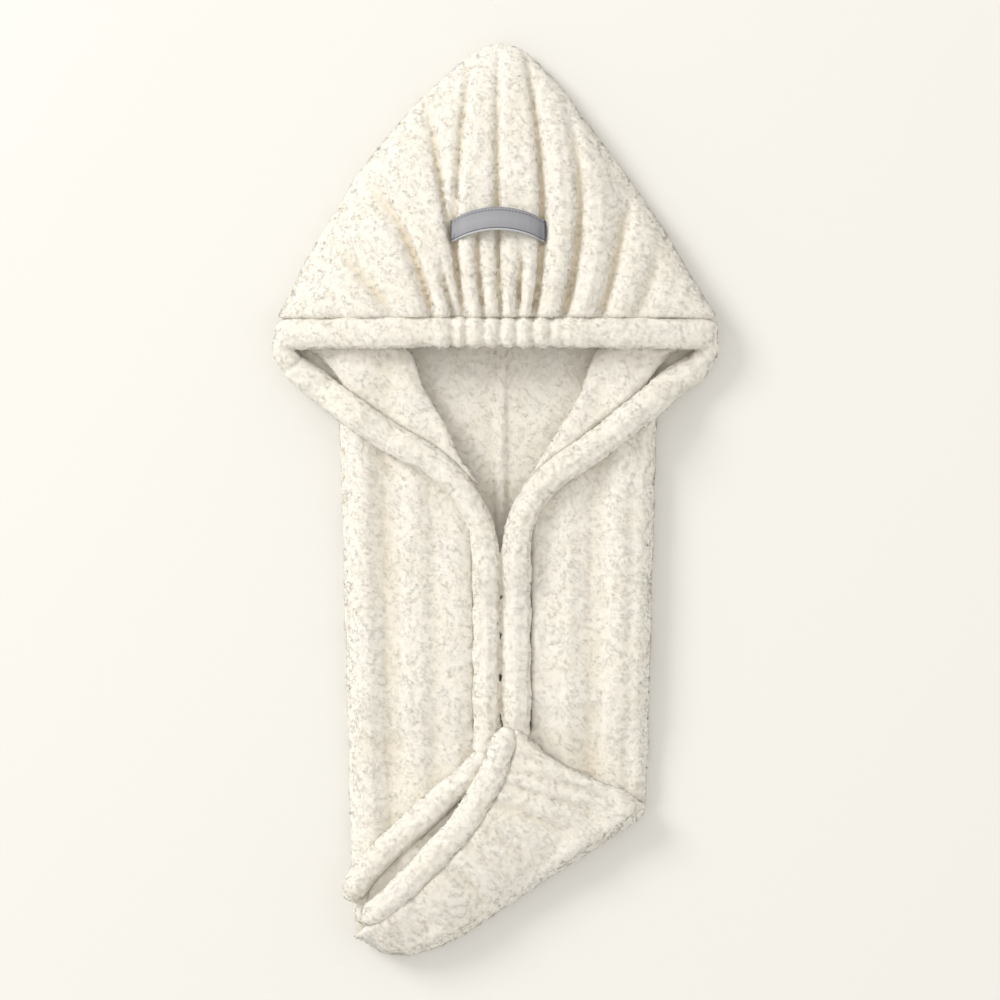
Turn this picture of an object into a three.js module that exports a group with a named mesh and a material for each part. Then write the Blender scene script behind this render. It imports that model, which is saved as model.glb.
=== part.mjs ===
import * as THREE from 'three';

// Hair turban towel lying flat and face up, crown toward +Y and folded tail toward -Y.
// Millimetres, +Z up. Pieces are drawn from the point where the hood's centre seam meets the brim:
// "drop" is a distance below that point, toward -Y. The whole is centred at the end.

// Hood
const hoodWidth = 300;
const hoodHeight = 185;
const hoodLoft = 42;
const cornerLoft = 22;
const brimDepth = 21;
const brimRise = 16;
const brimStand = 0.5;
const brimTuck = 1.7;

// Body
const bodyLength = 433;
const bodyTopWidth = 217;
const bodyEndWidth = 194;
const bodyLoft = 20;
const collarLoft = 13.5;
const edgeRun = 16;

// Front opening
const openingDepth = 165;
const centreLine = 2;
const leftHemWidth = 19;
const rightHemWidth = 20.5;
const hemRise = 13;
const hemStand = 5.5;
const hemTuck = 2;
const rollTuck = 4;
const closingRun = 8;
const scallopPitch = 27;

// Folded tail
const tailLength = 155;
const tailLoft = 14;
const tailRun = 45;
const mouthHeight = 5;
const tailHemWidth = 18.5;
const tailHemRise = 12.5;
const foldMargin = 8;
const layerInset = 16;

// Cloth, seam and tape
const cloth = 5;
const clearance = 0.4;
const bluntEnd = 1;
const seamWidth = 4;
const seamRise = 1.4;
const tapeWidth = 15.5;
const tapeLength = 64;
const tapeThickness = 1.6;
const tapeEnd = 6;
const tapeHeight = 57;
const tapeSlack = 8;
const tapeLift = 8;

const halfHood = hoodWidth / 2;
const tailStart = bodyLength - tailLength;
const hemEnd = tailStart + hemTuck;
const floorSeat = cloth + clearance;
const rimTop = floorSeat + cloth / 2;
const layerReach = 2 * cloth;

// Hood outline: height as a share of hoodHeight, left and right as shares of half the hood width
const hoodOutline = [
  { height: 0, left: 0.985, right: 0.975 },
  { height: 0.18, left: 0.876, right: 0.845 },
  { height: 0.34, left: 0.765, right: 0.728 },
  { height: 0.5, left: 0.646, right: 0.592 },
  { height: 0.645, left: 0.508, right: 0.465 },
  { height: 0.79, left: 0.356, right: 0.322 },
  { height: 0.905, left: 0.212, right: 0.214 },
  { height: 0.972, left: 0.098, right: 0.118 },
  { height: 1, left: 0.012, right: 0.034 },
];

// Valleys between the folds of the hood. brim and bendAcross are shares of half the hood width,
// bendUp of hoodHeight, rim is the place along the outline from the left corner to the right one.
// closes is the share of the way up where the valley has closed, 2 where it stays open. rise is the
// depth of the valleys beside the fold that follows, as a share of the cloth.
const hoodFolds = [
  { brim: -0.98, bendAcross: -0.98, bendUp: 0.008, rim: 0.006, closes: 2, rise: 0.47 },
  { brim: -0.682, bendAcross: -0.766, bendUp: 0.105, rim: 0.07, closes: 2, rise: 0.7 },
  { brim: -0.468, bendAcross: -0.588, bendUp: 0.123, rim: 0.134, closes: 2, rise: 1.3 },
  { brim: -0.29, bendAcross: -0.423, bendUp: 0.312, rim: 0.227, closes: 2, rise: 2.2 },
  { brim: -0.205, bendAcross: -0.32, bendUp: 0.36, rim: 0.3, closes: 0.3, rise: 2 },
  { brim: -0.165, bendAcross: -0.233, bendUp: 0.37, rim: 0.374, closes: 2, rise: 1.7 },
  { brim: -0.143, bendAcross: -0.187, bendUp: 0.425, rim: 0.466, closes: 2, rise: 2.1 },
  { brim: -0.065, bendAcross: -0.1, bendUp: 0.461, rim: 0.484, closes: 0.45, rise: 1.4 },
  { brim: 0.011, bendAcross: -0.004, bendUp: 0.461, rim: 0.501, closes: 2, rise: 1.4 },
  { brim: 0.089, bendAcross: 0.1, bendUp: 0.461, rim: 0.52, closes: 0.3, rise: 2.1 },
  { brim: 0.156, bendAcross: 0.192, bendUp: 0.443, rim: 0.54, closes: 2, rise: 2.1 },
  { brim: 0.294, bendAcross: 0.37, bendUp: 0.461, rim: 0.603, closes: 2, rise: 1.8 },
  { brim: 0.461, bendAcross: 0.543, bendUp: 0.243, rim: 0.779, closes: 2, rise: 1.2 },
  { brim: 0.615, bendAcross: 0.704, bendUp: 0.182, rim: 0.854, closes: 2, rise: 0.54 },
  { brim: 0.968, bendAcross: 0.968, bendUp: 0.008, rim: 0.994, closes: 2, rise: 0 },
];

// Gathers of the brim: place as a share of half the hood width, depth as a share of the brim's rise
const gathers = [
  { at: -0.288, depth: 0.23 },
  { at: -0.205, depth: 0.32 },
  { at: -0.143, depth: 0.34 },
  { at: -0.063, depth: 0.34 },
  { at: 0.009, depth: 0.34 },
  { at: 0.082, depth: 0.34 },
  { at: 0.158, depth: 0.34 },
  { at: 0.236, depth: 0.28 },
  { at: 0.29, depth: 0.15 },
  { at: 0.345, depth: 0.13 },
  { at: 0.415, depth: 0.1 },
];

// Flare of the back from the body's side out to the hood's corner: down as a share of openingDepth,
// out as a share of the way
const flare = [
  { down: 0, out: 0.95 },
  { down: 0.12, out: 0.94 },
  { down: 0.21, out: 0.78 },
  { down: 0.3, out: 0.38 },
  { down: 0.37, out: 0.08 },
  { down: 0.43, out: 0 },
];

// Hem lines from the brim's corner to the middle: out as a share of the way from the middle stretch
// to the corner, down as a share of openingDepth, half as a share of the hem's width
const leftHemLine = [
  { out: 0.975, down: 0.167, half: 0.45 },
  { out: 0.795, down: 0.282, half: 0.5 },
  { out: 0.667, down: 0.37, half: 0.52 },
  { out: 0.486, down: 0.479, half: 0.52 },
  { out: 0.229, down: 0.61, half: 0.47 },
  { out: 0.087, down: 0.745, half: 0.43 },
  { out: 0.02, down: 0.872, half: 0.46 },
  { out: 0, down: 1, half: 0.5 },
];
const rightHemLine = [
  { out: 0.962, down: 0.166, half: 0.42 },
  { out: 0.768, down: 0.266, half: 0.48 },
  { out: 0.64, down: 0.362, half: 0.5 },
  { out: 0.359, down: 0.544, half: 0.48 },
  { out: 0.153, down: 0.667, half: 0.45 },
  { out: 0.03, down: 0.819, half: 0.45 },
  { out: 0, down: 0.945, half: 0.48 },
  { out: 0, down: 1.06, half: 0.5 },
];

// Roll lines, where the fronts turn outward into the lapels, in the shares of the hem lines
const leftRollLine = [
  { out: 0.396, down: 0.14 },
  { out: 0.31, down: 0.278 },
  { out: 0.201, down: 0.442 },
  { out: 0.12, down: 0.593 },
  { out: 0.03, down: 0.69 },
];
const rightRollLine = [
  { out: 0.418, down: 0.14 },
  { out: 0.291, down: 0.36 },
  { out: 0.202, down: 0.475 },
  { out: 0.079, down: 0.64 },
  { out: 0.02, down: 0.71 },
];

// Soft ribs along the fronts: inward from the side as a share of half the body width,
// rise as a share of the cloth
const leftRibs = [
  { inward: 0, rise: 0 },
  { inward: 0.12, rise: 0.39 },
  { inward: 0.29, rise: -0.65 },
  { inward: 0.46, rise: 0.39 },
  { inward: 0.59, rise: -0.16 },
  { inward: 0.71, rise: 0.29 },
  { inward: 0.82, rise: -0.26 },
  { inward: 1.1, rise: -0.26 },
];
const rightRibs = [
  { inward: 0, rise: 0 },
  { inward: 0.07, rise: 0.13 },
  { inward: 0.12, rise: -0.2 },
  { inward: 0.22, rise: 0.45 },
  { inward: 0.36, rise: -0.52 },
  { inward: 0.53, rise: 0.24 },
  { inward: 0.73, rise: -0.39 },
  { inward: 1.1, rise: -0.26 },
];

// Tail outline from beside its apex, round the right corner and along the fold to the left end:
// across as a share of half the body's end width, down as a share of tailLength
const tailOutline = [
  { across: 0.17, down: 0.022 },
  { across: 0.25, down: 0.081 },
  { across: 0.452, down: 0.162 },
  { across: 0.672, down: 0.232 },
  { across: 0.878, down: 0.282 },
  { across: 0.984, down: 0.316 },
  { across: 1.025, down: 0.355 },
  { across: 0.98, down: 0.394 },
  { across: 0.672, down: 0.528 },
  { across: 0.36, down: 0.654 },
  { across: 0.04, down: 0.785 },
  { across: -0.202, down: 0.885 },
  { across: -0.438, down: 0.961 },
  { across: -0.634, down: 0.996 },
  { across: -0.759, down: 0.992 },
  { across: -0.885, down: 0.955 },
  { across: -0.985, down: 0.913 },
];
const corner = tailOutline.reduce((widest, row) => (row.across > widest.across ? row : widest));
const cornerRow = tailOutline.indexOf(corner);
const leftTip = { across: -1, down: 0.86 };

// Creases of the folded tail: hem is the place along the near hem, rim the place along the outline,
// rise the depth of the dents beside the fold that follows, as a share of the cloth
const tailCreases = [
  { hem: 0, rim: 0, rise: 0.1 },
  { hem: 0.09, rim: 0.19, rise: 0.15 },
  { hem: 0.16, rim: 0.3, rise: 0.25 },
  { hem: 0.21, rim: 0.345, rise: 0.45 },
  { hem: 0.29, rim: 0.427, rise: 0.5 },
  { hem: 0.4, rim: 0.544, rise: 0.45 },
  { hem: 0.49, rim: 0.608, rise: 0.45 },
  { hem: 0.6, rim: 0.672, rise: 0.4 },
  { hem: 0.8, rim: 0.814, rise: 0.3 },
  { hem: 1, rim: 1, rise: 0 },
];

// Hems of the tail's mouth, across and down as in the outline, half as a share of tailHemWidth,
// lift as a share of mouthHeight above the lower layer
const nearHemLine = [
  { across: 0.07, down: 0, half: 0.44, lift: 1.5 },
  { across: -0.03, down: 0.19, half: 0.5, lift: 1.35 },
  { across: -0.132, down: 0.307, half: 0.5, lift: 1.2 },
  { across: -0.265, down: 0.433, half: 0.5, lift: 1.1 },
  { across: -0.453, down: 0.559, half: 0.5, lift: 1 },
  { across: -0.668, down: 0.698, half: 0.48, lift: 0.9 },
  { across: -0.93, down: 0.832, half: 0.38, lift: 0.8 },
];
const farHemLine = [
  { across: -0.07, down: 0.1, half: 0.32 },
  { across: -0.15, down: 0.168, half: 0.42 },
  { across: -0.41, down: 0.321, half: 0.5 },
  { across: -0.665, down: 0.466, half: 0.49 },
  { across: -0.857, down: 0.581, half: 0.47 },
  { across: -0.981, down: 0.676, half: 0.47 },
  { across: -1.03, down: 0.749, half: 0.4 },
];

const lerp = THREE.MathUtils.lerp;
const clamp = THREE.MathUtils.clamp;
const smoothstep = THREE.MathUtils.smoothstep;

// One column of a table at a place along another, in a straight line from row to row
function read(table, by, place, column) {
  const last = table.length - 1;
  const rising = table[last][by] > table[0][by];
  let row = 0;
  while (row < last - 1 && (rising ? place > table[row + 1][by] : place < table[row + 1][by])) {
    row += 1;
  }
  const near = table[row];
  const far = table[row + 1];
  const share = clamp((place - near[by]) / (far[by] - near[by]), 0, 1);
  return lerp(near[column], far[column], share);
}

// Rounded shoulder that rises from 0 at an edge to 1 a run away from it
function shoulder(share) {
  const short = 1 - clamp(share, 0, 1);
  return Math.sqrt(1 - short * short);
}

function curveThrough(points) {
  return new THREE.CatmullRomCurve3(points, false, 'centripetal');
}

function tailDrop(row) {
  return tailStart + row.down * tailLength;
}

function tailPoint(row) {
  return new THREE.Vector3((row.across * bodyEndWidth) / 2, -tailDrop(row), 0);
}

const hoodRim = curveThrough([
  ...hoodOutline.map((row) => new THREE.Vector3(-row.left * halfHood, row.height * hoodHeight, 0)),
  ...hoodOutline
    .map((row) => new THREE.Vector3(row.right * halfHood, row.height * hoodHeight, 0))
    .reverse(),
]);
const tailRim = curveThrough(tailOutline.map(tailPoint));
const foldLine = tailOutline.slice(cornerRow).map(tailPoint);

// The two sides of the body, each with its own hem, roll line and ribs
const sides = {
  left: {
    sign: -1,
    hemWidth: leftHemWidth,
    hemLine: leftHemLine,
    rollLine: leftRollLine,
    ribs: leftRibs,
  },
  right: {
    sign: 1,
    hemWidth: rightHemWidth,
    hemLine: rightHemLine,
    rollLine: rightRollLine,
    ribs: rightRibs,
  },
};
for (const side of Object.values(sides)) {
  side.middle = centreLine + side.sign * (side.hemWidth / 2 + clearance / 2);
  side.place = (row) => {
    const out = lerp(side.middle, side.sign * halfHood, row.out);
    return new THREE.Vector3(out, -row.down * openingDepth, 0);
  };
  side.roll = curveThrough(side.rollLine.map(side.place));
}

function bodyHalf(drop) {
  return lerp(bodyTopWidth, bodyEndWidth, clamp(drop / bodyLength, 0, 1)) / 2;
}

// Distance in plan from a point to the folded lower edge of the towel
function foldDistance(x, drop) {
  const point = new THREE.Vector3(x, -drop, 0);
  const nearest = new THREE.Vector3();
  let distance = bodyLength;
  for (let row = 1; row < foldLine.length; row += 1) {
    new THREE.Line3(foldLine[row - 1], foldLine[row]).closestPointToPoint(point, true, nearest);
    distance = Math.min(distance, nearest.distanceTo(point));
  }
  return distance;
}

// Height of the upper face of the front panels
function frontTop(x, drop) {
  const inward = bodyHalf(drop) - Math.abs(x);
  const edge = Math.min(inward, foldDistance(x, drop) - foldMargin);
  if (edge < -foldMargin / 2) {
    return cloth;
  }
  const belowCollar = smoothstep(drop, 0.25 * openingDepth, 0.65 * openingDepth);
  const onTail = smoothstep(drop, tailStart - tailRun / 2, tailStart + tailRun / 2);
  const loft = lerp(lerp(collarLoft, bodyLoft, belowCollar), tailLoft, onTail);
  const { ribs } = x < 0 ? sides.left : sides.right;
  const rib = read(ribs, 'inward', inward / bodyHalf(drop), 'rise') * cloth;
  return rimTop + (loft + rib - rimTop) * shoulder(edge / edgeRun);
}

// Lowest height at which a piece lies clear of the fronts and the back, over a patch
function seat(x, drop, reach) {
  const directions = 8;
  let height = frontTop(x, drop);
  for (const radius of [reach / 3, (2 * reach) / 3, reach]) {
    for (let turn = 0; turn < directions; turn += 1) {
      const angle = (2 * Math.PI * turn) / directions;
      const beside = frontTop(x + radius * Math.cos(angle), drop + radius * Math.sin(angle));
      height = Math.max(height, beside);
    }
  }
  return height + clearance;
}

// Closed body from triangles, turned so that its faces point outward
function solid(positions, triangles) {
  const geometry = new THREE.BufferGeometry();
  geometry.setAttribute('position', new THREE.Float32BufferAttribute(positions, 3));
  const [a, b, c] = [new THREE.Vector3(), new THREE.Vector3(), new THREE.Vector3()];
  let volume = 0;
  for (const [first, second, third] of triangles) {
    a.fromArray(positions, 3 * first);
    b.fromArray(positions, 3 * second);
    c.fromArray(positions, 3 * third);
    volume += a.dot(b.cross(c));
  }
  const outward = triangles.map(([first, second, third]) => {
    return volume < 0 ? [first, third, second] : [first, second, third];
  });
  geometry.setIndex(outward.flat());
  geometry.computeVertexNormals();
  return geometry;
}

// Cloth between an upper and a lower grid, closed by walls around its four borders.
// place(u, v) gives x, y, top and under.
function sheet(columns, rows, place) {
  const spots = [];
  for (let row = 0; row <= rows; row += 1) {
    for (let column = 0; column <= columns; column += 1) {
      spots.push(place(column / columns, row / rows));
    }
  }
  const wide = columns + 1;
  const below = spots.length;
  const positions = [
    ...spots.flatMap((spot) => [spot.x, spot.y, spot.top]),
    ...spots.flatMap((spot) => [spot.x, spot.y, spot.under]),
  ];
  const triangles = [];
  for (let row = 0; row < rows; row += 1) {
    for (let column = 0; column < columns; column += 1) {
      const corner = row * wide + column;
      const under = corner + below;
      triangles.push([corner, corner + 1, corner + wide + 1]);
      triangles.push([corner, corner + wide + 1, corner + wide]);
      triangles.push([under, under + wide + 1, under + 1]);
      triangles.push([under, under + wide, under + wide + 1]);
    }
  }
  const acrossColumns = [...Array(columns).keys()];
  const acrossRows = [...Array(rows).keys()];
  const border = [
    ...acrossColumns,
    ...acrossRows.map((row) => row * wide + columns),
    ...acrossColumns.map((column) => rows * wide + columns - column),
    ...acrossRows.map((row) => (rows - row) * wide),
  ];
  border.forEach((from, index) => {
    const to = border[(index + 1) % border.length];
    triangles.push([from, from + below, to + below], [from, to + below, to]);
  });
  return solid(positions, triangles);
}

// Rolled hem swept through stations { x, y, z, half, rise }, its section standing across the run.
// A bulge below 1 makes the section squarer.
function roll(stations, sideCount, bulge = 1) {
  const bulged = (value) => Math.sign(value) * Math.abs(value) ** bulge;
  const positions = [];
  const triangles = [];
  stations.forEach((station, index) => {
    const before = stations[Math.max(0, index - 1)];
    const after = stations[Math.min(stations.length - 1, index + 1)];
    const run = new THREE.Vector2(after.x - before.x, after.y - before.y).normalize();
    for (let step = 0; step < sideCount; step += 1) {
      const angle = (2 * Math.PI * step) / sideCount;
      const out = bulged(Math.cos(angle)) * station.half;
      positions.push(station.x + run.y * out, station.y - run.x * out);
      positions.push(station.z + bulged(Math.sin(angle)) * station.rise);
    }
  });
  for (let ring = 0; ring < stations.length - 1; ring += 1) {
    for (let step = 0; step < sideCount; step += 1) {
      const next = (step + 1) % sideCount;
      const [a, b] = [ring * sideCount + step, ring * sideCount + next];
      triangles.push([a, b, b + sideCount], [a, b + sideCount, a + sideCount]);
    }
  }
  const lastRing = (stations.length - 1) * sideCount;
  for (let step = 1; step < sideCount - 1; step += 1) {
    triangles.push([0, step + 1, step]);
    triangles.push([lastRing, lastRing + step, lastRing + step + 1]);
  }
  return solid(positions, triangles);
}

// Share of a roll's full section near its rounded ends, which start blunt
function roundEnd(distance, run) {
  return Math.max(0.3, shoulder((distance + bluntEnd) / run));
}

// Back panel
function backPanel() {
  const hoodRows = 11;
  const rows = [];
  for (let row = 0; row <= hoodRows; row += 1) {
    const height = 1 - (row / hoodRows) ** 1.5;
    rows.push({
      y: height * hoodHeight,
      left: -read(hoodOutline, 'height', height, 'left') * halfHood,
      right: read(hoodOutline, 'height', height, 'right') * halfHood,
      seam: smoothstep(1 - height, 0.1, 0.25),
    });
  }
  for (const step of flare.slice(1)) {
    const drop = step.down * openingDepth;
    const half = lerp(bodyHalf(drop), halfHood, step.out);
    rows.push({ y: -drop, left: -half, right: half, seam: 1 });
  }
  const flareEnd = flare[flare.length - 1].down * openingDepth;
  const straightRows = 4;
  for (let row = 1; row <= straightRows; row += 1) {
    const drop = lerp(flareEnd, tailDrop(corner), row / straightRows);
    const seam = row < straightRows ? 1 : 0;
    rows.push({ y: -drop, left: -bodyHalf(drop), right: bodyHalf(drop), seam });
  }
  const lowest = tailOutline.reduce((lower, row) => (row.down > lower.down ? row : lower));
  const lowestRow = tailOutline.indexOf(lowest);
  const rightEdge = tailOutline.slice(cornerRow + 1, lowestRow + 1);
  const leftEdge = [leftTip, ...tailOutline.slice(lowestRow + 1).reverse()];
  for (const row of rightEdge) {
    const left = (read(leftEdge, 'down', row.down, 'across') * bodyEndWidth) / 2;
    rows.push({ y: -tailDrop(row), left, right: (row.across * bodyEndWidth) / 2, seam: 0 });
  }
  const columns = [
    { across: 0, rise: -0.3 * cloth },
    { across: 0.06, rise: 0 },
    { across: 0.25, rise: 0 },
    { seam: -1, rise: 0 },
    { seam: -0.5, rise: seamRise },
    { seam: 0.5, rise: seamRise },
    { seam: 1, rise: 0 },
    { across: 0.75, rise: 0 },
    { across: 0.94, rise: 0 },
    { across: 1, rise: -0.3 * cloth },
  ];
  return sheet(columns.length - 1, rows.length - 1, (u, v) => {
    const row = rows[Math.round(v * (rows.length - 1))];
    const column = columns[Math.round(u * (columns.length - 1))];
    const width = row.right - row.left;
    const seam = clamp(centreLine, row.left + 0.45 * width, row.right - 0.45 * width);
    const spread = Math.min(seamWidth, 0.15 * width);
    const beside = column.seam === undefined;
    const x = beside ? lerp(row.left, row.right, column.across) : seam + column.seam * spread;
    const rise = column.rise > 0 ? column.rise * row.seam : column.rise;
    return { x, y: row.y, top: cloth + rise, under: 0 };
  });
}

// Height of the hood above the brim's seam, lower toward the corners
function hoodTop(across) {
  return lerp(hoodLoft, cornerLoft, Math.abs(across) ** 2.2);
}

// A point of a hood valley's line, from the brim to the outline
function valleyPoint(line, up) {
  const start = new THREE.Vector2(line.brim * halfHood, clearance);
  const bend = new THREE.Vector2(line.bendAcross * halfHood, line.bendUp * hoodHeight);
  const end = hoodRim.getPointAt(line.rim);
  return new THREE.Vector2()
    .addScaledVector(start, (1 - up) * (1 - 2 * up))
    .addScaledVector(bend, 4 * up * (1 - up))
    .addScaledVector(end, up * (2 * up - 1));
}

// A point of the hood: fold counts the folds from the left, up runs from the brim to the outline.
// A fold that grows narrower than two cloths sinks into one valley with its neighbours.
function hoodPoint(fold, up) {
  const index = Math.min(Math.floor(fold), hoodFolds.length - 2);
  const share = fold - index;
  const ends = [hoodFolds[index], hoodFolds[index + 1]];
  const [near, far] = ends.map((line) => valleyPoint(line, up));
  const { x, y } = near.clone().lerp(far, share);
  const across = lerp(ends[0].brim, ends[1].brim, share);
  const dome = (1 - up ** 1.8) ** 0.62;
  const { closes } = share < 0.5 ? ends[0] : ends[1];
  const open = 1 - smoothstep(up, closes / 2, closes);
  const narrow = 1 - smoothstep(Math.abs(far.x - near.x), cloth, 2 * cloth);
  const hollow = Math.max((1 - Math.sin(Math.PI * share) ** 0.7) * open, narrow);
  const valley = hollow * (1 - 0.75 * up ** 2);
  const depth = valley * lerp(neighbourRise(index, share), ends[0].rise, 0.5) * cloth;
  const crest = rimTop + (hoodTop(across) - rimTop) * dome;
  const sink = Math.min(depth, 0.7 * (crest - rimTop));
  const top = crest - sink;
  const under = Math.max(floorSeat, crest - cloth - 0.8 * sink);
  return { x, y, top, under };
}

// Depth shared by the two folds beside a valley, so that the cloth is continuous there
function neighbourRise(index, share) {
  const beside = share < 0.5 ? Math.max(0, index - 1) : Math.min(hoodFolds.length - 2, index + 1);
  return hoodFolds[beside].rise;
}

function hoodFront() {
  const columnsPerFold = 4;
  const columns = (hoodFolds.length - 1) * columnsPerFold;
  const rows = 11;
  return sheet(columns, rows, (u, v) => {
    const up = 1 - (1 - v) ** 1.6;
    return hoodPoint((u * columns) / columnsPerFold, up);
  });
}

// Brim, its stations closer together at the gathers and toward the rounded ends
function brim() {
  const places = [];
  const ends = [-1, gathers[0].at, gathers[gathers.length - 1].at, 0.985];
  const plainSteps = 9;
  const gatherSteps = 4;
  for (let step = 0; step < plainSteps; step += 1) {
    places.push(lerp(ends[0], ends[1], (step / plainSteps) ** 2));
  }
  gathers.slice(1).forEach((gather, index) => {
    for (let step = 0; step < gatherSteps; step += 1) {
      places.push(lerp(gathers[index].at, gather.at, step / gatherSteps));
    }
  });
  for (let step = 0; step <= plainSteps; step += 1) {
    places.push(lerp(ends[3], ends[2], (1 - step / plainSteps) ** 2));
  }
  const gatherRun = 0.13 * brimDepth;
  const stations = places.map((across) => {
    const fromEnd = Math.min(across - ends[0], ends[3] - across) * halfHood;
    const round = roundEnd(fromEnd, brimDepth / 2);
    let pinch = 0;
    for (const gather of gathers) {
      const away = ((across - gather.at) * halfHood) / gatherRun;
      pinch = Math.max(pinch, gather.depth * Math.exp(-away * away));
    }
    return {
      x: across * halfHood,
      y: -brimDepth / 2,
      z: hoodTop(across) + brimStand - brimRise / 2,
      half: (brimDepth / 2) * round * (1 - 0.5 * pinch),
      rise: (brimRise / 2) * round * (1 - pinch),
    };
  });
  const sideCount = 10;
  const squareness = 0.75;
  return roll(stations, sideCount, squareness);
}

// Stations of a front hem: slanting from the corner of the brim to the middle, then straight down it
function hemStations(side) {
  const slant = curveThrough(side.hemLine.map(side.place));
  const slantSteps = 18;
  const stepsPerScallop = 4;
  const spots = [];
  for (let step = 0; step <= slantSteps; step += 1) {
    spots.push(slant.getPointAt(step / slantSteps));
  }
  const slantEnd = side.hemLine[side.hemLine.length - 1].down * openingDepth;
  const straightSteps = stepsPerScallop * Math.round((hemEnd - slantEnd) / scallopPitch);
  for (let step = 1; step <= straightSteps; step += 1) {
    const drop = lerp(slantEnd, hemEnd, step / straightSteps);
    spots.push(new THREE.Vector3(side.middle, -drop, 0));
  }
  return spots.map(({ x, y }) => {
    const drop = -y;
    const fromStart = Math.hypot(x - spots[0].x, y - spots[0].y);
    const round = Math.min(roundEnd(fromStart, hemRise), roundEnd(hemEnd - drop, hemRise / 2));
    const plain = read(side.hemLine, 'down', drop / openingDepth, 'half') * side.hemWidth;
    const inMiddle = smoothstep(drop, 0.95 * openingDepth, 1.1 * openingDepth);
    const wave = 0.5 + 0.5 * Math.cos((2 * Math.PI * drop) / scallopPitch);
    const scallop = 1 - 0.1 * inMiddle * wave;
    const rise = (hemRise / 2) * lerp(round, 1, 0.2);
    const above = seat(x, drop, 0.8 * plain) + rise;
    const between = bodyLoft + hemStand - hemRise / 2;
    const z = lerp(above, between, smoothstep(drop, openingDepth, 1.2 * openingDepth));
    return { x, y, z, half: plain * round * scallop, rise };
  });
}

// A line beside a swept hem, at a distance from its side
function besideHem(stations, turn, distance) {
  return stations.map((station, index) => {
    const before = stations[Math.max(0, index - 1)];
    const after = stations[Math.min(stations.length - 1, index + 1)];
    const run = new THREE.Vector2(after.x - before.x, after.y - before.y).normalize();
    const out = turn * (station.half + distance);
    return new THREE.Vector3(station.x + run.y * out, station.y - run.x * out, 0);
  });
}

// Turned-out strip of a front, between its hem and its roll line, the top tucked under the brim
function lapel(side, hem) {
  const rollEnd = side.rollLine[side.rollLine.length - 1].down * openingDepth;
  const beside = besideHem(hem, side.sign, clearance).filter((point) => -point.y < rollEnd);
  const crease = curveThrough(beside.slice(1));
  const tuckedDrop = brimDepth - brimTuck;
  const tuckedShare = 0.25;
  const columns = 8;
  const rows = 11;
  return sheet(columns, rows, (u, v) => {
    const outer = crease.getPointAt(v);
    const turned = side.roll.getPointAt(v);
    const x = lerp(outer.x, turned.x, u);
    const slantDrop = -lerp(outer.y, turned.y, u);
    const drop = lerp(tuckedDrop, slantDrop, Math.min(1, v / tuckedShare));
    const under = seat(x, drop, 1.2 * cloth);
    const fromEdge = Math.min(u, 1 - u) * columns;
    const thick = cloth * lerp(0.6, 1, shoulder(fromEdge));
    return { x, y: -drop, top: under + thick, under };
  });
}

// Inner edge of a front panel: below the roll line, then beside the hem
function frontInner(side, drop) {
  const rollShare = read(side.rollLine, 'down', drop / openingDepth, 'out');
  const rollX = side.place({ out: rollShare, down: 0 }).x + side.sign * rollTuck;
  const besideX = side.middle + side.sign * (side.hemWidth / 2 + clearance);
  return side.sign * Math.max(Math.abs(besideX), Math.abs(rollX));
}

// Front panel of the body. Above the tail its last column runs beside the hem; on the tail the two
// fronts meet at the middle.
function front(side) {
  const collarStart = 0.22 * openingDepth;
  const collarSlope = 0.15 * openingDepth;
  const tailFrom = hemEnd + closingRun;
  const sections = [
    { from: collarStart, to: openingDepth, steps: 7 },
    { from: openingDepth, to: hemEnd, steps: 5 },
  ];
  const tailSteps = 6;
  const rows = [{ drop: collarStart, onTail: false }];
  for (const section of sections) {
    for (let step = 1; step <= section.steps; step += 1) {
      rows.push({ drop: lerp(section.from, section.to, step / section.steps), onTail: false });
    }
  }
  for (let step = 0; step <= tailSteps; step += 1) {
    rows.push({ share: step / tailSteps, onTail: true });
  }
  const middle = centreLine + (side.sign * clearance) / 2;
  const columns = 13;
  return sheet(columns, rows.length - 1, (u, v) => {
    const row = rows[Math.round(v * (rows.length - 1))];
    const inner = frontInner(side, row.onTail ? tailFrom : row.drop);
    const share = Math.min(1, (u * columns) / (columns - 1)) ** 1.25;
    const last = row.onTail ? middle : inner;
    const across = (outer) => (u < 1 ? lerp(outer, inner + (side.sign * cloth) / 5, share) : last);
    const endAcross = (2 * across((side.sign * bodyEndWidth) / 2)) / bodyEndWidth;
    const foldDown = read(tailOutline.slice(cornerRow), 'across', endAcross, 'down');
    const endDrop = tailDrop({ down: foldDown }) - 1.45 * foldMargin;
    const towardSide = (1 - u) * (1 - smoothstep(row.drop, collarStart, openingDepth));
    const bodyDrop = Math.min(row.drop, endDrop) + collarSlope * towardSide;
    const drop = row.onTail ? lerp(tailFrom, endDrop, row.share) : bodyDrop;
    const x = across(side.sign * bodyHalf(drop));
    const top = frontTop(x, drop);
    return { x, y: -drop, top, under: Math.max(floorSeat, top - cloth) };
  });
}

// Stations of a hem of the tail's mouth. centreHeight(point, half, rise) gives the height of its axis.
function tailHemStations(line, centreHeight) {
  const curve = curveThrough(line.map(tailPoint));
  const length = curve.getLength();
  const steps = 22;
  const stations = [];
  for (let step = 0; step <= steps; step += 1) {
    const point = curve.getPointAt(step / steps);
    const half = read(line, 'down', (-point.y - tailStart) / tailLength, 'half') * tailHemWidth;
    const fromEnd = Math.min(step, steps - step) * (length / steps);
    const round = roundEnd(fromEnd, tailHemRise / 2);
    const rise = (tailHemRise / 2) * round;
    const z = centreHeight(point, half, rise);
    stations.push({ x: point.x, y: point.y, z, half: half * round, rise });
  }
  return stations;
}

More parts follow.
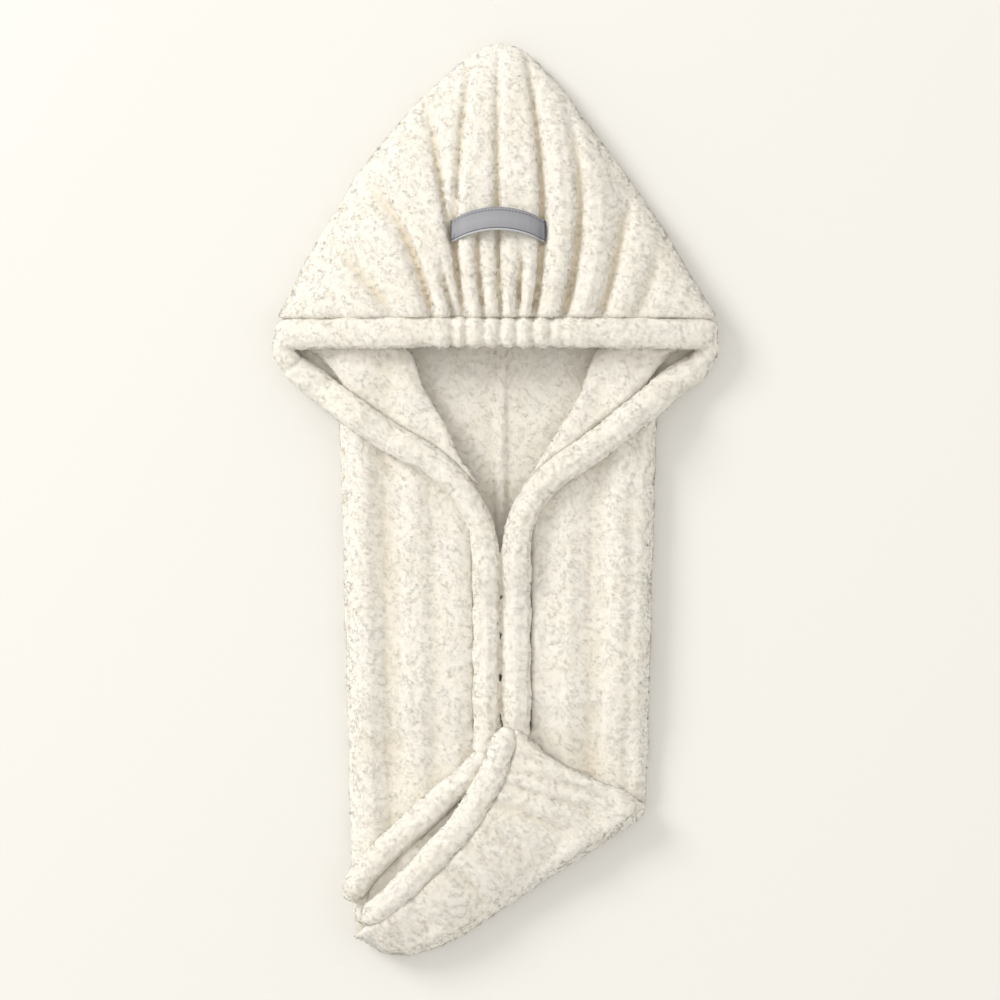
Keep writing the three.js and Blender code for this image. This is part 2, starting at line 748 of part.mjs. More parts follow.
const farHem = tailHemStations(farHemLine, (point, half, rise) => {
  return seat(point.x, -point.y, half) + rise;
});
const nearHem = tailHemStations(nearHemLine, (point) => {
  const lift = read(nearHemLine, 'down', (-point.y - tailStart) / tailLength, 'lift') * mouthHeight;
  return seat(point.x, -point.y, cloth) + cloth + lift + tailHemRise / 2;
});

// Lower layer of the folded tail, on the body and set back from the folded edge of the upper one
function tailUnder() {
  const start = curveThrough(besideHem(farHem, -1, clearance).slice(2, -2));
  const rimFrom = 0.1;
  const rimTo = 0.97;
  return sheet(9, 12, (u, v) => {
    const near = start.getPointAt(v);
    const far = tailRim.getPointAt(lerp(rimFrom, rimTo, v));
    const across = near.clone().sub(far);
    const end = far.clone().add(across.setLength(layerInset));
    const x = lerp(near.x, end.x, u);
    const y = lerp(near.y, end.y, u);
    const under = seat(x, -y, 1.1 * layerReach);
    return { x, y, top: under + cloth, under };
  });
}

// Upper layer of the folded tail, from the near hem to the outline
function tailPanel() {
  const base = curveThrough(besideHem(nearHem, -1, 2 * clearance));
  const columnsPerFold = 3;
  const folds = tailCreases.length - 1;
  const layer = cloth + 4 * clearance;
  return sheet(folds * columnsPerFold, 10, (u, v) => {
    const fold = Math.min(Math.floor(u * folds + 1e-6), folds - 1);
    const share = u * folds - fold;
    const [here, next] = [tailCreases[fold], tailCreases[fold + 1]];
    const along = lerp(here.hem, next.hem, share);
    const start = base.getPointAt(along);
    const end = tailRim.getPointAt(lerp(here.rim, next.rim, share));
    const out = 1 - (1 - v) ** 1.5;
    const x = lerp(start.x, end.x, out);
    const y = lerp(start.y, end.y, out);
    const rest = seat(end.x, -end.y, 0.4 * cloth) + cloth / 2;
    const hemTop = nearHem[Math.round(along * (nearHem.length - 1))].z + cloth / 2;
    const crest = lerp(rest, hemTop, (1 - out ** 2) ** 0.55);
    const valley = (1 - Math.sin(Math.PI * share) ** 0.7) * (1 - out ** 3);
    const fromRim = Math.hypot(end.x - x, end.y - y);
    const overLayer = layer * smoothstep(fromRim, 0.1 * cloth, 1.1 * cloth);
    const reach = clamp(1.2 * fromRim, 0.42 * foldMargin, 1.2 * layerReach);
    const cleared = seat(x, -y, reach) + overLayer;
    const top = Math.max(crest - valley * here.rise * cloth, cleared + cloth / 2);
    return { x, y, top, under: Math.max(cleared, top - cloth) };
  });
}

// Highest point of the hood under a patch around a point
function hoodTopNear(x, y, reachX, reachY) {
  let height = 0;
  for (let fold = 0; fold <= hoodFolds.length - 1; fold += 0.1) {
    for (let up = 0; up <= 1; up += 0.01) {
      const spot = hoodPoint(fold, up);
      if (Math.abs(spot.x - x) < reachX && Math.abs(spot.y - y) < reachY) {
        height = Math.max(height, spot.top);
      }
    }
  }
  return height;
}

// Grey tape, its ends sewn down in two valleys of the hood, its middle slack over the folds between
function tapeLoop() {
  const columns = 18;
  const rows = 2;
  const reach = (0.6 * tapeLength) / columns;
  const looseLength = tapeLength - 2 * tapeEnd;
  return sheet(columns, rows, (u, v) => {
    const x = (u - 0.5) * tapeLength;
    const bow = 1 - (2 * u - 1) ** 2;
    const y = tapeHeight + tapeSlack * bow + (v - 0.5) * tapeWidth;
    const loose = clamp((u * tapeLength - tapeEnd) / looseLength, 0, 1);
    const sewn = hoodTopNear(x, y, reach, 0.3 * tapeWidth) + clearance;
    const slack = hoodTopNear(0, y, looseLength / 3, tapeWidth / 4) + tapeLift;
    const under = lerp(sewn, slack, Math.sin(Math.PI * loose) ** 0.6);
    return { x, y, top: under + tapeThickness, under };
  });
}

const plushFinish = { color: 0xf1ebdc, roughness: 0.95, metalness: 0 };
const tapeFinish = { color: 0x9a9da4, roughness: 0.7, metalness: 0 };
const hemSides = 8;
const leftHem = hemStations(sides.left);
const rightHem = hemStations(sides.right);

const pieces = [
  { name: 'back_panel', geometry: backPanel(), finish: plushFinish },
  { name: 'hood_front', geometry: hoodFront(), finish: plushFinish },
  { name: 'brim', geometry: brim(), finish: plushFinish },
  { name: 'left_front', geometry: front(sides.left), finish: plushFinish },
  { name: 'right_front', geometry: front(sides.right), finish: plushFinish },
  { name: 'left_lapel', geometry: lapel(sides.left, leftHem), finish: plushFinish },
  { name: 'right_lapel', geometry: lapel(sides.right, rightHem), finish: plushFinish },
  { name: 'left_hem', geometry: roll(leftHem, hemSides), finish: plushFinish },
  { name: 'right_hem', geometry: roll(rightHem, hemSides), finish: plushFinish },
  { name: 'tail_under', geometry: tailUnder(), finish: plushFinish },
  { name: 'tail_panel', geometry: tailPanel(), finish: plushFinish },
  { name: 'tail_far_hem', geometry: roll(farHem, hemSides), finish: plushFinish },
  { name: 'tail_near_hem', geometry: roll(nearHem, hemSides), finish: plushFinish },
  { name: 'tape_loop', geometry: tapeLoop(), finish: tapeFinish },
];

const towel = new THREE.Group();
for (const piece of pieces) {
  const mesh = new THREE.Mesh(piece.geometry, new THREE.MeshStandardMaterial(piece.finish));
  mesh.name = piece.name;
  towel.add(mesh);
}
const box = new THREE.Box3().setFromObject(towel);
const centre = box.getCenter(new THREE.Vector3());
towel.position.set(-centre.x, -centre.y, 0);

export default towel;
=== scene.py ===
import math
import bmesh
import bpy
import numpy as np
from mathutils import Matrix, Vector, noise
from mathutils.bvhtree import BVHTree


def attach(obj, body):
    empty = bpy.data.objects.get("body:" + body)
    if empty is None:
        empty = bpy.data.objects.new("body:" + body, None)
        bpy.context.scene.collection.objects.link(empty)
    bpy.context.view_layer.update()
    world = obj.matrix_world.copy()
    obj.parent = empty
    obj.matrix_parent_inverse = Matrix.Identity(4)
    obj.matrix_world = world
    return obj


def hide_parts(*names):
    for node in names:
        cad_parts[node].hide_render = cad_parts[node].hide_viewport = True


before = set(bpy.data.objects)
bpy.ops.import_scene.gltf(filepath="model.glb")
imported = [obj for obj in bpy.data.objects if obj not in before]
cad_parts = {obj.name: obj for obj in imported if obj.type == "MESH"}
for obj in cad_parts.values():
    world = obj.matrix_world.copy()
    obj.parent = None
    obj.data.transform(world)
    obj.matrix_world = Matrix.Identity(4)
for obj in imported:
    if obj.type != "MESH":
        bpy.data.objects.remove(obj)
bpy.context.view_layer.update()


# Back panel: one large cut of cream coral fleece that lies on the table, from the crown of the hood
# to the fold of the tail, with a raised seam down its middle that shows in the front opening. Every
# plush piece of the towel is cut from the same double-sided fleece.
def plush_cloth(name, nodes, grain, soften, swell, stuffing=()):
    """The cloth of one or more nodes as one even skin, its facets smoothed away. Stuffing is round
    lumps of rolled cloth, each a place and three radii, that join it."""
    shell = bmesh.new()
    for node in nodes:
        shell.from_mesh(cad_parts[node].data)
    bmesh.ops.remove_doubles(shell, verts=shell.verts, dist=0.00002)
    shell.normal_update()
    for vert in shell.verts:
        vert.co += vert.normal * swell
    for place, radii in stuffing:
        at = Matrix.Translation(place) @ Matrix.Diagonal((*radii, 1.0))
        bmesh.ops.create_icosphere(shell, subdivisions=3, radius=1.0, matrix=at)
    mesh = bpy.data.meshes.new(name)
    shell.to_mesh(mesh)
    shell.free()
    cloth = bpy.data.objects.new(name, mesh)
    bpy.context.collection.objects.link(cloth)
    even = cloth.modifiers.new("even", "REMESH")
    even.mode = "VOXEL"
    even.voxel_size = grain
    soft = cloth.modifiers.new("soft", "SMOOTH")
    soft.factor = 0.5
    soft.iterations = soften
    seen = cloth.evaluated_get(bpy.context.evaluated_depsgraph_get())
    cloth.data = bpy.data.meshes.new_from_object(seen)
    cloth.modifiers.clear()
    cloth.data.name = name
    cloth.data.shade_smooth()
    return cloth


def skin_points(mesh):
    """Where the points of a skin are, and which way each one faces."""
    places = np.empty(len(mesh.vertices) * 3)
    facing = np.empty(len(mesh.vertices) * 3)
    mesh.vertices.foreach_get("co", places)
    mesh.vertex_normals.foreach_get("vector", facing)
    return places.reshape(-1, 3), facing.reshape(-1, 3)


def draw_in_valleys(cloth, rounds, pull):
    """Draws the valleys between folds in, and keeps how deep each point of the skin lies in one."""
    mesh = cloth.data
    places, facing = skin_points(mesh)
    count = len(places)
    threads = np.empty(len(mesh.edges) * 2, dtype=np.int64)
    mesh.edges.foreach_get("vertices", threads)
    one, other = threads[0::2], threads[1::2]
    beside = np.bincount(one, minlength=count) + np.bincount(other, minlength=count)
    level = places.copy()
    for _ in range(rounds):
        around = np.empty_like(level)
        for axis in range(3):
            toward = np.bincount(one, weights=level[other, axis], minlength=count)
            back = np.bincount(other, weights=level[one, axis], minlength=count)
            around[:, axis] = (toward + back) / beside
        level = 0.3 * level + 0.7 * around
    sunk = ((level - places) * facing).sum(axis=1)
    held_height, free_rise = 0.0008, 0.004
    off_table = np.clip((places[:, 2] - held_height) / free_rise, 0.0, 1.0)
    most_raised, most_sunk = 0.0012, 0.004
    moved = -np.clip(sunk, -most_raised, most_sunk) * pull * off_table
    mesh.vertices.foreach_set("co", (places + facing * moved[:, None]).ravel())
    valley = mesh.attributes.new("valley", "FLOAT", "POINT")
    full_depth = 0.0035
    valley.data.foreach_set("value", np.clip(sunk / full_depth, -1.0, 1.0))
    mesh.update()


def fluff(cloth, seed, lump=0.0006, curl=0.00038):
    """Raises soft lumps and small curls on the skin, and keeps how high each point of it stands."""
    mesh = cloth.data
    places, facing = skin_points(mesh)
    count = len(places)
    shift = Vector((seed * 0.37, seed * 0.11, seed * 0.23))
    lump_size, curl_size, strand_size = 0.017, 0.0045, 0.0024
    heights = np.empty(count)
    crests = np.empty(count)
    for index in range(count):
        place = Vector(places[index])
        soft_lump = noise.noise(place / lump_size + shift)
        small_curl = 0.6 - 1.6 * abs(noise.noise(place / curl_size + shift))
        small_curl += 0.5 * noise.noise(place / strand_size - shift)
        heights[index] = lump * soft_lump + curl * small_curl
        # Low crests lie in the hollows of the curls, which the finish darkens with painted shade.
        crests[index] = 0.55 + 0.3 * small_curl
    off_table = np.clip(places[:, 2] / 0.002, 0.0, 1.0)
    places += facing * (heights * off_table)[:, None]
    underside = (facing[:, 2] < -0.7) & (places[:, 2] < 0.0015)
    places[underside, 2] += 0.0006 * np.clip(crests[underside], 0.0, 1.0)
    places[:, 2] = np.maximum(places[:, 2], 0.0)
    mesh.vertices.foreach_set("co", places.ravel())
    crest = mesh.attributes.new("crest", "FLOAT", "POINT")
    crest.data.foreach_set("value", crests)
    mesh.update()


def colour_ramp(nodes, *stops):
    """A ramp from a value to a colour. Each stop is a place on it and a colour."""
    ramp = nodes.new("ShaderNodeValToRGB")
    elements = ramp.color_ramp.elements
    while len(elements) < len(stops):
        elements.new(0.5)
    for element, (place, colour) in zip(elements, stops):
        element.position = place
        element.color = (*colour, 1.0)
    return ramp


def multiplied(tree, one, other):
    """Two colours multiplied, as the output of a new node."""
    mix = tree.nodes.new("ShaderNodeMix")
    mix.data_type = "RGBA"
    mix.blend_type = "MULTIPLY"
    mix.inputs["Factor"].default_value = 1.0
    tree.links.new(one, mix.inputs["A"])
    tree.links.new(other, mix.inputs["B"])
    return mix.outputs["Result"]


def plush_finish():
    """Cream fleece, pale at the tips of the pile, with painted shade: darker and warmer at its roots, in
    the hollows of its curls and in the valleys.
    """
    finish = bpy.data.materials.new("cream_fleece")
    finish.use_nodes = True
    tree = finish.node_tree
    nodes, links = tree.nodes, tree.links
    shader = nodes["Principled BSDF"]
    shader.inputs["Roughness"].default_value = 0.95
    shader.inputs["Specular IOR Level"].default_value = 0.1
    shader.inputs["Sheen Weight"].default_value = 0.25
    shader.inputs["Sheen Roughness"].default_value = 0.6
    shader.inputs["Sheen Tint"].default_value = (1.0, 0.98, 0.93, 1.0)
    place = nodes.new("ShaderNodeTexCoord")
    crest = nodes.new("ShaderNodeAttribute")
    crest.attribute_name = "crest"
    valley = nodes.new("ShaderNodeAttribute")
    valley.attribute_name = "valley"
    patches = nodes.new("ShaderNodeTexNoise")
    patches.inputs["Scale"].default_value = 40.0
    patches.inputs["Detail"].default_value = 3.0
    strands = nodes.new("ShaderNodeTexNoise")
    strands.inputs["Scale"].default_value = 750.0
    strands.inputs["Detail"].default_value = 3.0
    strands.inputs["Distortion"].default_value = 0.6
    # Painted shade: the hollows of the curls and the roots of the tufts take the darker, warmer colour.
    curl_shade = colour_ramp(nodes, (0.0, (0.79, 0.725, 0.61)), (0.7, (0.845, 0.81, 0.735)))
    # Painted shade: the deeper a point lies in a valley between folds, the warmer and darker it is.
    valley_shade = colour_ramp(nodes, (0.0, (1.0, 1.0, 1.0)), (1.0, (0.84, 0.74, 0.57)))
    shades = colour_ramp(nodes, (0.3, (0.975, 0.965, 0.935)), (0.6, (1.0, 1.0, 1.0)))
    bump = nodes.new("ShaderNodeBump")
    bump.inputs["Strength"].default_value = 0.35
    bump.inputs["Distance"].default_value = 0.0005
    links.new(place.outputs["Object"], patches.inputs["Vector"])
    links.new(place.outputs["Object"], strands.inputs["Vector"])
    links.new(crest.outputs["Fac"], curl_shade.inputs["Fac"])
    links.new(valley.outputs["Fac"], valley_shade.inputs["Fac"])
    links.new(patches.outputs["Fac"], shades.inputs["Fac"])
    painted_shade = multiplied(tree, curl_shade.outputs["Color"], valley_shade.outputs["Color"])
    toned = multiplied(tree, painted_shade, shades.outputs["Color"])
    links.new(toned, shader.inputs["Base Color"])
    links.new(strands.outputs["Fac"], bump.inputs["Height"])
    links.new(bump.outputs["Normal"], shader.inputs["Normal"])
    return finish


cream_fleece = plush_finish()
plush_pieces = []


def dress(cloth, *nodes):
    """Gives a plush piece its finish and its place in the towel."""
    cloth.data.materials.clear()
    cloth.data.materials.append(cream_fleece)
    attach(cloth, "root")
    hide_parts(*nodes)
    plush_pieces.append(cloth)


def plush_piece(name, nodes, seed, grain, soften, rounds, pull, swell=0.0004, stuffing=()):
    """One finished piece of the towel, from the cloth of one or more nodes."""
    cloth = plush_cloth(name, nodes, grain, soften, swell, stuffing)
    draw_in_valleys(cloth, rounds, pull)
    fluff(cloth, seed)
    dress(cloth, *nodes)
    return cloth


back = plush_piece(
    "back_cloth", ["back_panel"], seed=1, grain=0.0020, soften=2, rounds=20, pull=0.9
)

# Fronts: two long panels of the same fleece, folded over from the back along the sides. They lie in
# soft lengthwise ribs over the hollow body.
left_front = plush_piece(
    "left_front_cloth", ["left_front"], seed=2, grain=0.0017, soften=5, rounds=60, pull=0.6
)
right_front = plush_piece(
    "right_front_cloth", ["right_front"], seed=3, grain=0.0017, soften=5, rounds=60, pull=0.6
)

# Lapels: the upper edges of the fronts, turned outward so that their inner side shows. Each is a
# single layer that ends in the rolled hem.
left_lapel = plush_piece(
    "left_lapel_cloth", ["left_lapel"], seed=4, grain=0.0016, soften=5, rounds=30, pull=0.3
)
right_lapel = plush_piece(
    "right_lapel_cloth", ["right_lapel"], seed=5, grain=0.0016, soften=5, rounds=30, pull=0.3
)

# Hood: one layer of fleece drawn together by the brim's elastic, so that it fans out in rounded
# folds from the brim to the outline, where it is sewn to the back.
hood = plush_piece(
    "hood_cloth", ["hood_front"], seed=8, grain=0.0014, soften=2, rounds=70, pull=0.45, swell=0.0010
)

# Rolled edge: the brim is a casing with an elastic inside that gathers its middle. Round both corners
# it runs on into the front hems, where the cloth is turned over twice and sewn into a fat roll.
corner_radii = (0.0072, 0.0072, 0.0072)
corner_lumps = 7
corner_bulge = 0.0045
corner_y, corner_length = 0.1125, 0.0175
corner_height, corner_drop = 0.0145, 0.0020
hem_end_radii = (0.0090, 0.0070, 0.0064)
hem_end_lumps = 4
hem_end_y, hem_end_step, hem_end_height = -0.1530, 0.0045, 0.0186
turned_cloth = []
for end, x_out in ((-1, 0.1400), (1, 0.1385)):
    for along in range(corner_lumps):
        share = along / (corner_lumps - 1)
        out = x_out + corner_bulge * math.sin(math.pi * share)
        y = corner_y - corner_length * share
        place = Vector((end * out, y, corner_height - corner_drop * share))
        turned_cloth.append((place, corner_radii))
for hem_middle in (-0.0066, 0.0136):
    for along in range(hem_end_lumps):
        place = Vector((hem_middle, hem_end_y - hem_end_step * along, hem_end_height))
        turned_cloth.append((place, hem_end_radii))
edge_roll = plush_piece(
    "edge_roll_cloth",
    ["brim", "left_hem", "right_hem"],
    seed=9,
    grain=0.0013,
    soften=2,
    rounds=30,
    pull=0.4,
    swell=0.0002,
    stuffing=turned_cloth,
)

# Folded tail: the open lower end of the body, turned up over the fronts at a slant. The lower layer
# lies on the body, the upper one bulges over it, and each ends in a rolled hem at the mouth.
tail_under = plush_piece(
    "tail_under_cloth", ["tail_under"], seed=10, grain=0.0019, soften=4, rounds=20, pull=0.2
)
tail_far_hem = plush_piece(
    "tail_far_hem_cloth", ["tail_far_hem"],
    seed=11, grain=0.0015, soften=4, rounds=20, pull=0.2, swell=0.0006,
)
tail_panel = plush_piece(
    "tail_panel_cloth", ["tail_panel"], seed=12, grain=0.0015, soften=4, rounds=50, pull=0.6, swell=0.0006
)
tail_near_hem = plush_piece(
    "tail_near_hem_cloth", ["tail_near_hem"],
    seed=13, grain=0.0015, soften=4, rounds=20, pull=0.2, swell=0.0006,
)


# Pile: curly tufts of soft polyester yarn that stand all over the fleece and lean in swirls. Those
# that can be seen from above or from the sides are made, each a thin spike laid over the cloth.
def open_to_view(trees, place, outward):
    """Whether a point of the cloth can be seen from above or from one of the sides."""
    above_curls = 0.0015
    start = place + outward * above_curls
    for across, along, up in ((0, 0, 1), (1, 0, 0.6), (-1, 0, 0.6), (0, 1, 0.6), (0, -1, 0.6)):
        way = Vector((across, along, up)).normalized()
        if way.dot(outward) < -0.2:
            continue
        if all(tree.ray_cast(start, way)[0] is None for tree in trees):
            return True
    return False


def pile(cloth, trees, seed, spacing=0.00128, length=0.0021, width=0.00040):
    """Tufts over the part of a plush piece that shows, as one mesh."""
    chance = np.random.RandomState(seed)
    mesh = cloth.data
    mesh.calc_loop_triangles()
    corners = np.empty(len(mesh.loop_triangles) * 3, dtype=np.int64)
    mesh.loop_triangles.foreach_get("vertices", corners)
    corners = corners.reshape(-1, 3)
    places, skin_facing = skin_points(mesh)
    depths = np.empty(len(places))
    mesh.attributes["valley"].data.foreach_get("value", depths)
    a, b, c = places[corners[:, 0]], places[corners[:, 1]], places[corners[:, 2]]
    facing = np.cross(b - a, c - a)
    areas = np.linalg.norm(facing, axis=1) / 2
    facing /= np.maximum(2 * areas, 1e-12)[:, None]
    upward = np.where(facing[:, 2] > -0.35, areas, 0.0)
    count = int(upward.sum() / spacing**2)
    chosen = chance.choice(len(areas), size=count, p=upward / upward.sum())
    share_a, share_b = chance.rand(count), chance.rand(count)
    over = share_a + share_b > 1
    share_a[over], share_b[over] = 1 - share_a[over], 1 - share_b[over]
    roots = a[chosen] + share_a[:, None] * (b - a)[chosen] + share_b[:, None] * (c - a)[chosen]
    outward = facing[chosen]
    seen = [open_to_view(trees, Vector(p), Vector(n)) for p, n in zip(roots, outward)]
    kept = np.array(seen, dtype=bool)
    roots, outward, chosen = roots[kept], outward[kept], chosen[kept]
    count = len(roots)
    deep = depths[corners[chosen, 0]]
    swirl_size, swirl_turn, stray_turn = 0.009, 6.5, 1.6
    swirl = np.array([noise.noise(Vector(p) / swirl_size) for p in roots])
    turn = swirl_turn * swirl + stray_turn * (chance.rand(count) - 0.5)
    slanting = np.array([0.31, 0.95, 0.05])
    aside = np.cross(outward, slanting)
    aside /= np.maximum(np.linalg.norm(aside, axis=1), 1e-9)[:, None]
    ahead = np.cross(outward, aside)
    lean_way = np.cos(turn)[:, None] * aside + np.sin(turn)[:, None] * ahead
    lean = 0.95 + 0.45 * chance.rand(count)
    long = length * (0.7 + 0.6 * chance.rand(count)) * (1 - 0.4 * np.clip(deep, 0.0, 1.0))
    tips = roots + outward * (long * np.cos(lean))[:, None] + lean_way * (long * np.sin(lean))[:, None]
    wide = width * (0.8 + 0.5 * chance.rand(count))
    root_depth = 0.0004
    sunk = roots - outward * root_depth
    points = np.empty((count, 4, 3))
    lit = np.empty((count, 4, 3))
    soft_facing = skin_facing[corners[chosen, 0]]
    for corner in range(3):
        angle = turn + corner * 2 * math.pi / 3
        side = np.cos(angle)[:, None] * aside + np.sin(angle)[:, None] * ahead
        points[:, corner] = sunk + side * wide[:, None]
        lit[:, corner] = soft_facing + 0.24 * side
    points[:, 3] = tips
    lit[:, 3] = soft_facing + 0.3 * lean_way
    lit /= np.linalg.norm(lit, axis=2)[:, :, None]
    points[:, :, 2] = np.maximum(points[:, :, 2], 0.0)
    first = np.arange(count)[:, None] * 4
    sides = ([0, 2, 1], [0, 1, 3], [1, 2, 3], [2, 0, 3])
    faces = np.concatenate([first + np.array(side) for side in sides])
    tufts_mesh = bpy.data.meshes.new(cloth.name.replace("_cloth", "_pile"))
    tufts_mesh.vertices.add(count * 4)
    tufts_mesh.vertices.foreach_set("co", points.ravel())
    tufts_mesh.loops.add(len(faces) * 3)
    tufts_mesh.loops.foreach_set("vertex_index", faces.ravel())
    tufts_mesh.polygons.add(len(faces))
    tufts_mesh.polygons.foreach_set("loop_start", np.arange(len(faces)) * 3)
    tufts_mesh.update(calc_edges=True)
    tufts_mesh.validate()
    # Tuft roots get a low crest, so they take the ramp's painted shade, and tips a high one; the spread
    # is random tone.
    shaded_root_level, tip_tone, tone_spread = 0.5, 0.9, 0.24
    shade_and_tone = np.tile(np.array([shaded_root_level, shaded_root_level, shaded_root_level, tip_tone]), count)
    shade_and_tone += np.repeat(tone_spread * (chance.rand(count) - 0.5), 4)
    crest = tufts_mesh.attributes.new("crest", "FLOAT", "POINT")
    crest.data.foreach_set("value", shade_and_tone)
    valley = tufts_mesh.attributes.new("valley", "FLOAT", "POINT")
    valley.data.foreach_set("value", np.repeat(deep, 4))
    tufts_mesh.shade_smooth()
    tufts_mesh.normals_split_custom_set_from_vertices(lit.reshape(-1, 3).tolist())
    tufts = bpy.data.objects.new(tufts_mesh.name, tufts_mesh)
    bpy.context.collection.objects.link(tufts)
    tufts_mesh.materials.append(cream_fleece)
    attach(tufts, "root")
    return tufts


skin_trees = []
for cloth in plush_pieces:
    skin = bmesh.new()
    skin.from_mesh(cloth.data)
    skin_trees.append(BVHTree.FromBMesh(skin))
    skin.free()
for order, cloth in enumerate(plush_pieces):
    pile(cloth, skin_trees, seed=100 + order)

# Tape: a short length of grey woven tape with a stitched upper edge and a bound lower one, sewn down
# at both ends in two valleys of the hood. Its middle is slack, for the twisted tail to go through.
def worked_out(tree, operation, one, other=None):
    """A value worked out from one value, or from it and another or a constant."""
    step = tree.nodes.new("ShaderNodeMath")
    step.operation = operation
    tree.links.new(one, step.inputs[0])
    if isinstance(other, float):
        step.inputs[1].default_value = other
    elif other is not None:
        tree.links.new(other, step.inputs[1])
    return step.outputs["Value"]


tape_half_length = 0.032
tape_width = 0.0155
tape_middle = Vector((0.00113, 0.18055, 0.0))
tape_bow = 0.008
tape = plush_cloth("tape_loop_cloth", ["tape_loop"], grain=0.00042, soften=2, swell=0.0)
tape_places, tape_facing = skin_points(tape.data)
along = (tape_places[:, 0] - tape_middle.x) / tape_half_length
across = (tape_places[:, 1] - tape_middle.y - tape_bow * (1 - along**2)) / tape_width
along_tape = tape.data.attributes.new("along_tape", "FLOAT", "POINT")
along_tape.data.foreach_set("value", along)
across_tape = tape.data.attributes.new("across_tape", "FLOAT", "POINT")
across_tape.data.foreach_set("value", across + 0.5)

woven = bpy.data.materials.new("grey_tape")
woven.use_nodes = True
weave_nodes, weave_links = woven.node_tree.nodes, woven.node_tree.links
weave_shader = weave_nodes["Principled BSDF"]
weave_shader.inputs["Roughness"].default_value = 0.6
weave_shader.inputs["Specular IOR Level"].default_value = 0.3
weave_shader.inputs["Sheen Weight"].default_value = 0.3
weave_shader.inputs["Sheen Roughness"].default_value = 0.4
along_read = weave_nodes.new("ShaderNodeAttribute")
along_read.attribute_name = "along_tape"
across_read = weave_nodes.new("ShaderNodeAttribute")
across_read.attribute_name = "across_tape"
# Across the tape, from the lower edge: a pale band, which is a painted highlight on that edge; then a
# dark line; then a grey middle a little lighter than its sides, which is painted sheen; darker at the
# upper edge.
bands_and_sheen = colour_ramp(
    weave_nodes,
    (0.00, (0.50, 0.50, 0.51)),
    (0.065, (0.52, 0.52, 0.53)),
    (0.085, (0.11, 0.11, 0.13)),
    (0.115, (0.13, 0.13, 0.15)),
    (0.14, (0.30, 0.30, 0.32)),
    (0.50, (0.34, 0.34, 0.36)),
    (0.95, (0.30, 0.30, 0.32)),
    (1.00, (0.20, 0.21, 0.24)),
)
bare, sewn = (0.0, 0.0, 0.0), (1.0, 1.0, 1.0)
stitch_row = colour_ramp(
    weave_nodes, (0.0, bare), (0.835, bare), (0.855, sewn), (0.875, sewn), (0.895, bare)
)
end_shade = colour_ramp(weave_nodes, (0.955, (1.0, 1.0, 1.0)), (0.985, (0.28, 0.28, 0.30)))
stitches = 14.0
stitch_share = 0.7
stitch_part = worked_out(woven.node_tree, "MULTIPLY", along_read.outputs["Fac"], stitches)
stitch_part = worked_out(woven.node_tree, "FRACT", stitch_part)
on_stitch = worked_out(woven.node_tree, "LESS_THAN", stitch_part, stitch_share)
on_row = worked_out(woven.node_tree, "MULTIPLY", on_stitch, stitch_row.outputs["Color"])
end_reach = worked_out(woven.node_tree, "ABSOLUTE", along_read.outputs["Fac"])
stitched = weave_nodes.new("ShaderNodeMix")
stitched.data_type = "RGBA"
stitched.inputs["B"].default_value = (0.12, 0.12, 0.14, 1.0)
threads_place = weave_nodes.new("ShaderNodeTexCoord")
threads = weave_nodes.new("ShaderNodeTexWave")
threads.inputs["Scale"].default_value = 420.0
threads.inputs["Distortion"].default_value = 1.5
threads_bump = weave_nodes.new("ShaderNodeBump")
threads_bump.inputs["Strength"].default_value = 0.5
threads_bump.inputs["Distance"].default_value = 0.0002
weave_links.new(across_read.outputs["Fac"], bands_and_sheen.inputs["Fac"])
weave_links.new(across_read.outputs["Fac"], stitch_row.inputs["Fac"])
weave_links.new(end_reach, end_shade.inputs["Fac"])
weave_links.new(on_row, stitched.inputs["Factor"])
weave_links.new(bands_and_sheen.outputs["Color"], stitched.inputs["A"])
ended = multiplied(woven.node_tree, stitched.outputs["Result"], end_shade.outputs["Color"])
weave_links.new(ended, weave_shader.inputs["Base Color"])
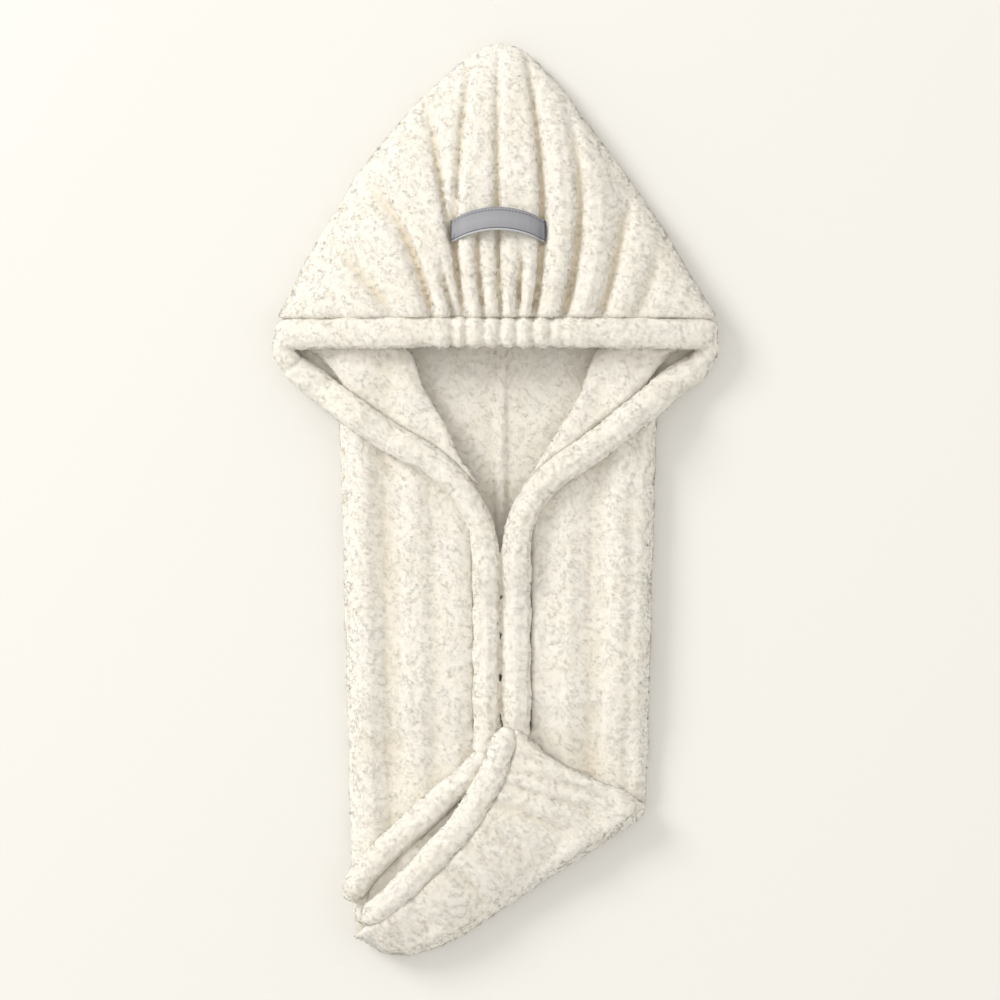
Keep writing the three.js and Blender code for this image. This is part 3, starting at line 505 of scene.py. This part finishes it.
weave_links.new(threads_place.outputs["Object"], threads.inputs["Vector"])
weave_links.new(threads.outputs["Fac"], threads_bump.inputs["Height"])
weave_links.new(threads_bump.outputs["Normal"], weave_shader.inputs["Normal"])
tape.data.materials.clear()
tape.data.materials.append(woven)
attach(tape, "root")
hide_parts("tape_loop")

# Table, light and camera: the towel lies on a plain pale table, lit softly from the upper left, and
# is seen from straight above.
table_mesh = bpy.data.meshes.new("table")
board = bmesh.new()
bmesh.ops.create_grid(board, x_segments=1, y_segments=1, size=3.0)
board.to_mesh(table_mesh)
board.free()
table = bpy.data.objects.new("table", table_mesh)
bpy.context.collection.objects.link(table)
table.location.z = -0.0002
pale = bpy.data.materials.new("pale_table")
pale.use_nodes = True
pale.node_tree.nodes["Principled BSDF"].inputs["Base Color"].default_value = (0.80, 0.785, 0.745, 1.0)
pale.node_tree.nodes["Principled BSDF"].inputs["Roughness"].default_value = 0.9
pale.node_tree.nodes["Principled BSDF"].inputs["Specular IOR Level"].default_value = 0.1
table_mesh.materials.append(pale)

window = bpy.data.lights.new("window", "AREA")
window.shape = "DISK"
window.size = 1.8
window.energy = 100.0
window.color = (1.0, 0.99, 0.97)
window_stand = bpy.data.objects.new("window", window)
bpy.context.collection.objects.link(window_stand)
window_stand.location = (-3.0, 2.1, 2.4)
window_stand.rotation_euler = (-window_stand.location).to_track_quat("-Z", "Y").to_euler()

room = bpy.data.worlds.new("room")
room.use_nodes = True
room.node_tree.nodes["Background"].inputs["Color"].default_value = (1.0, 0.99, 0.97, 1.0)
room.node_tree.nodes["Background"].inputs["Strength"].default_value = 0.91
bpy.context.scene.world = room

camera_height = 2.5
view_width = 0.6754
view_level = 0.025
lens = bpy.data.cameras.new("camera")
lens.sensor_width = 36.0
lens.lens = 36.0 * (camera_height - view_level) / view_width
camera = bpy.data.objects.new("camera", lens)
bpy.context.collection.objects.link(camera)
camera.location = (0.0025, 0.0, camera_height)
bpy.context.scene.camera = camera
bpy.context.scene.view_settings.view_transform = "Standard"
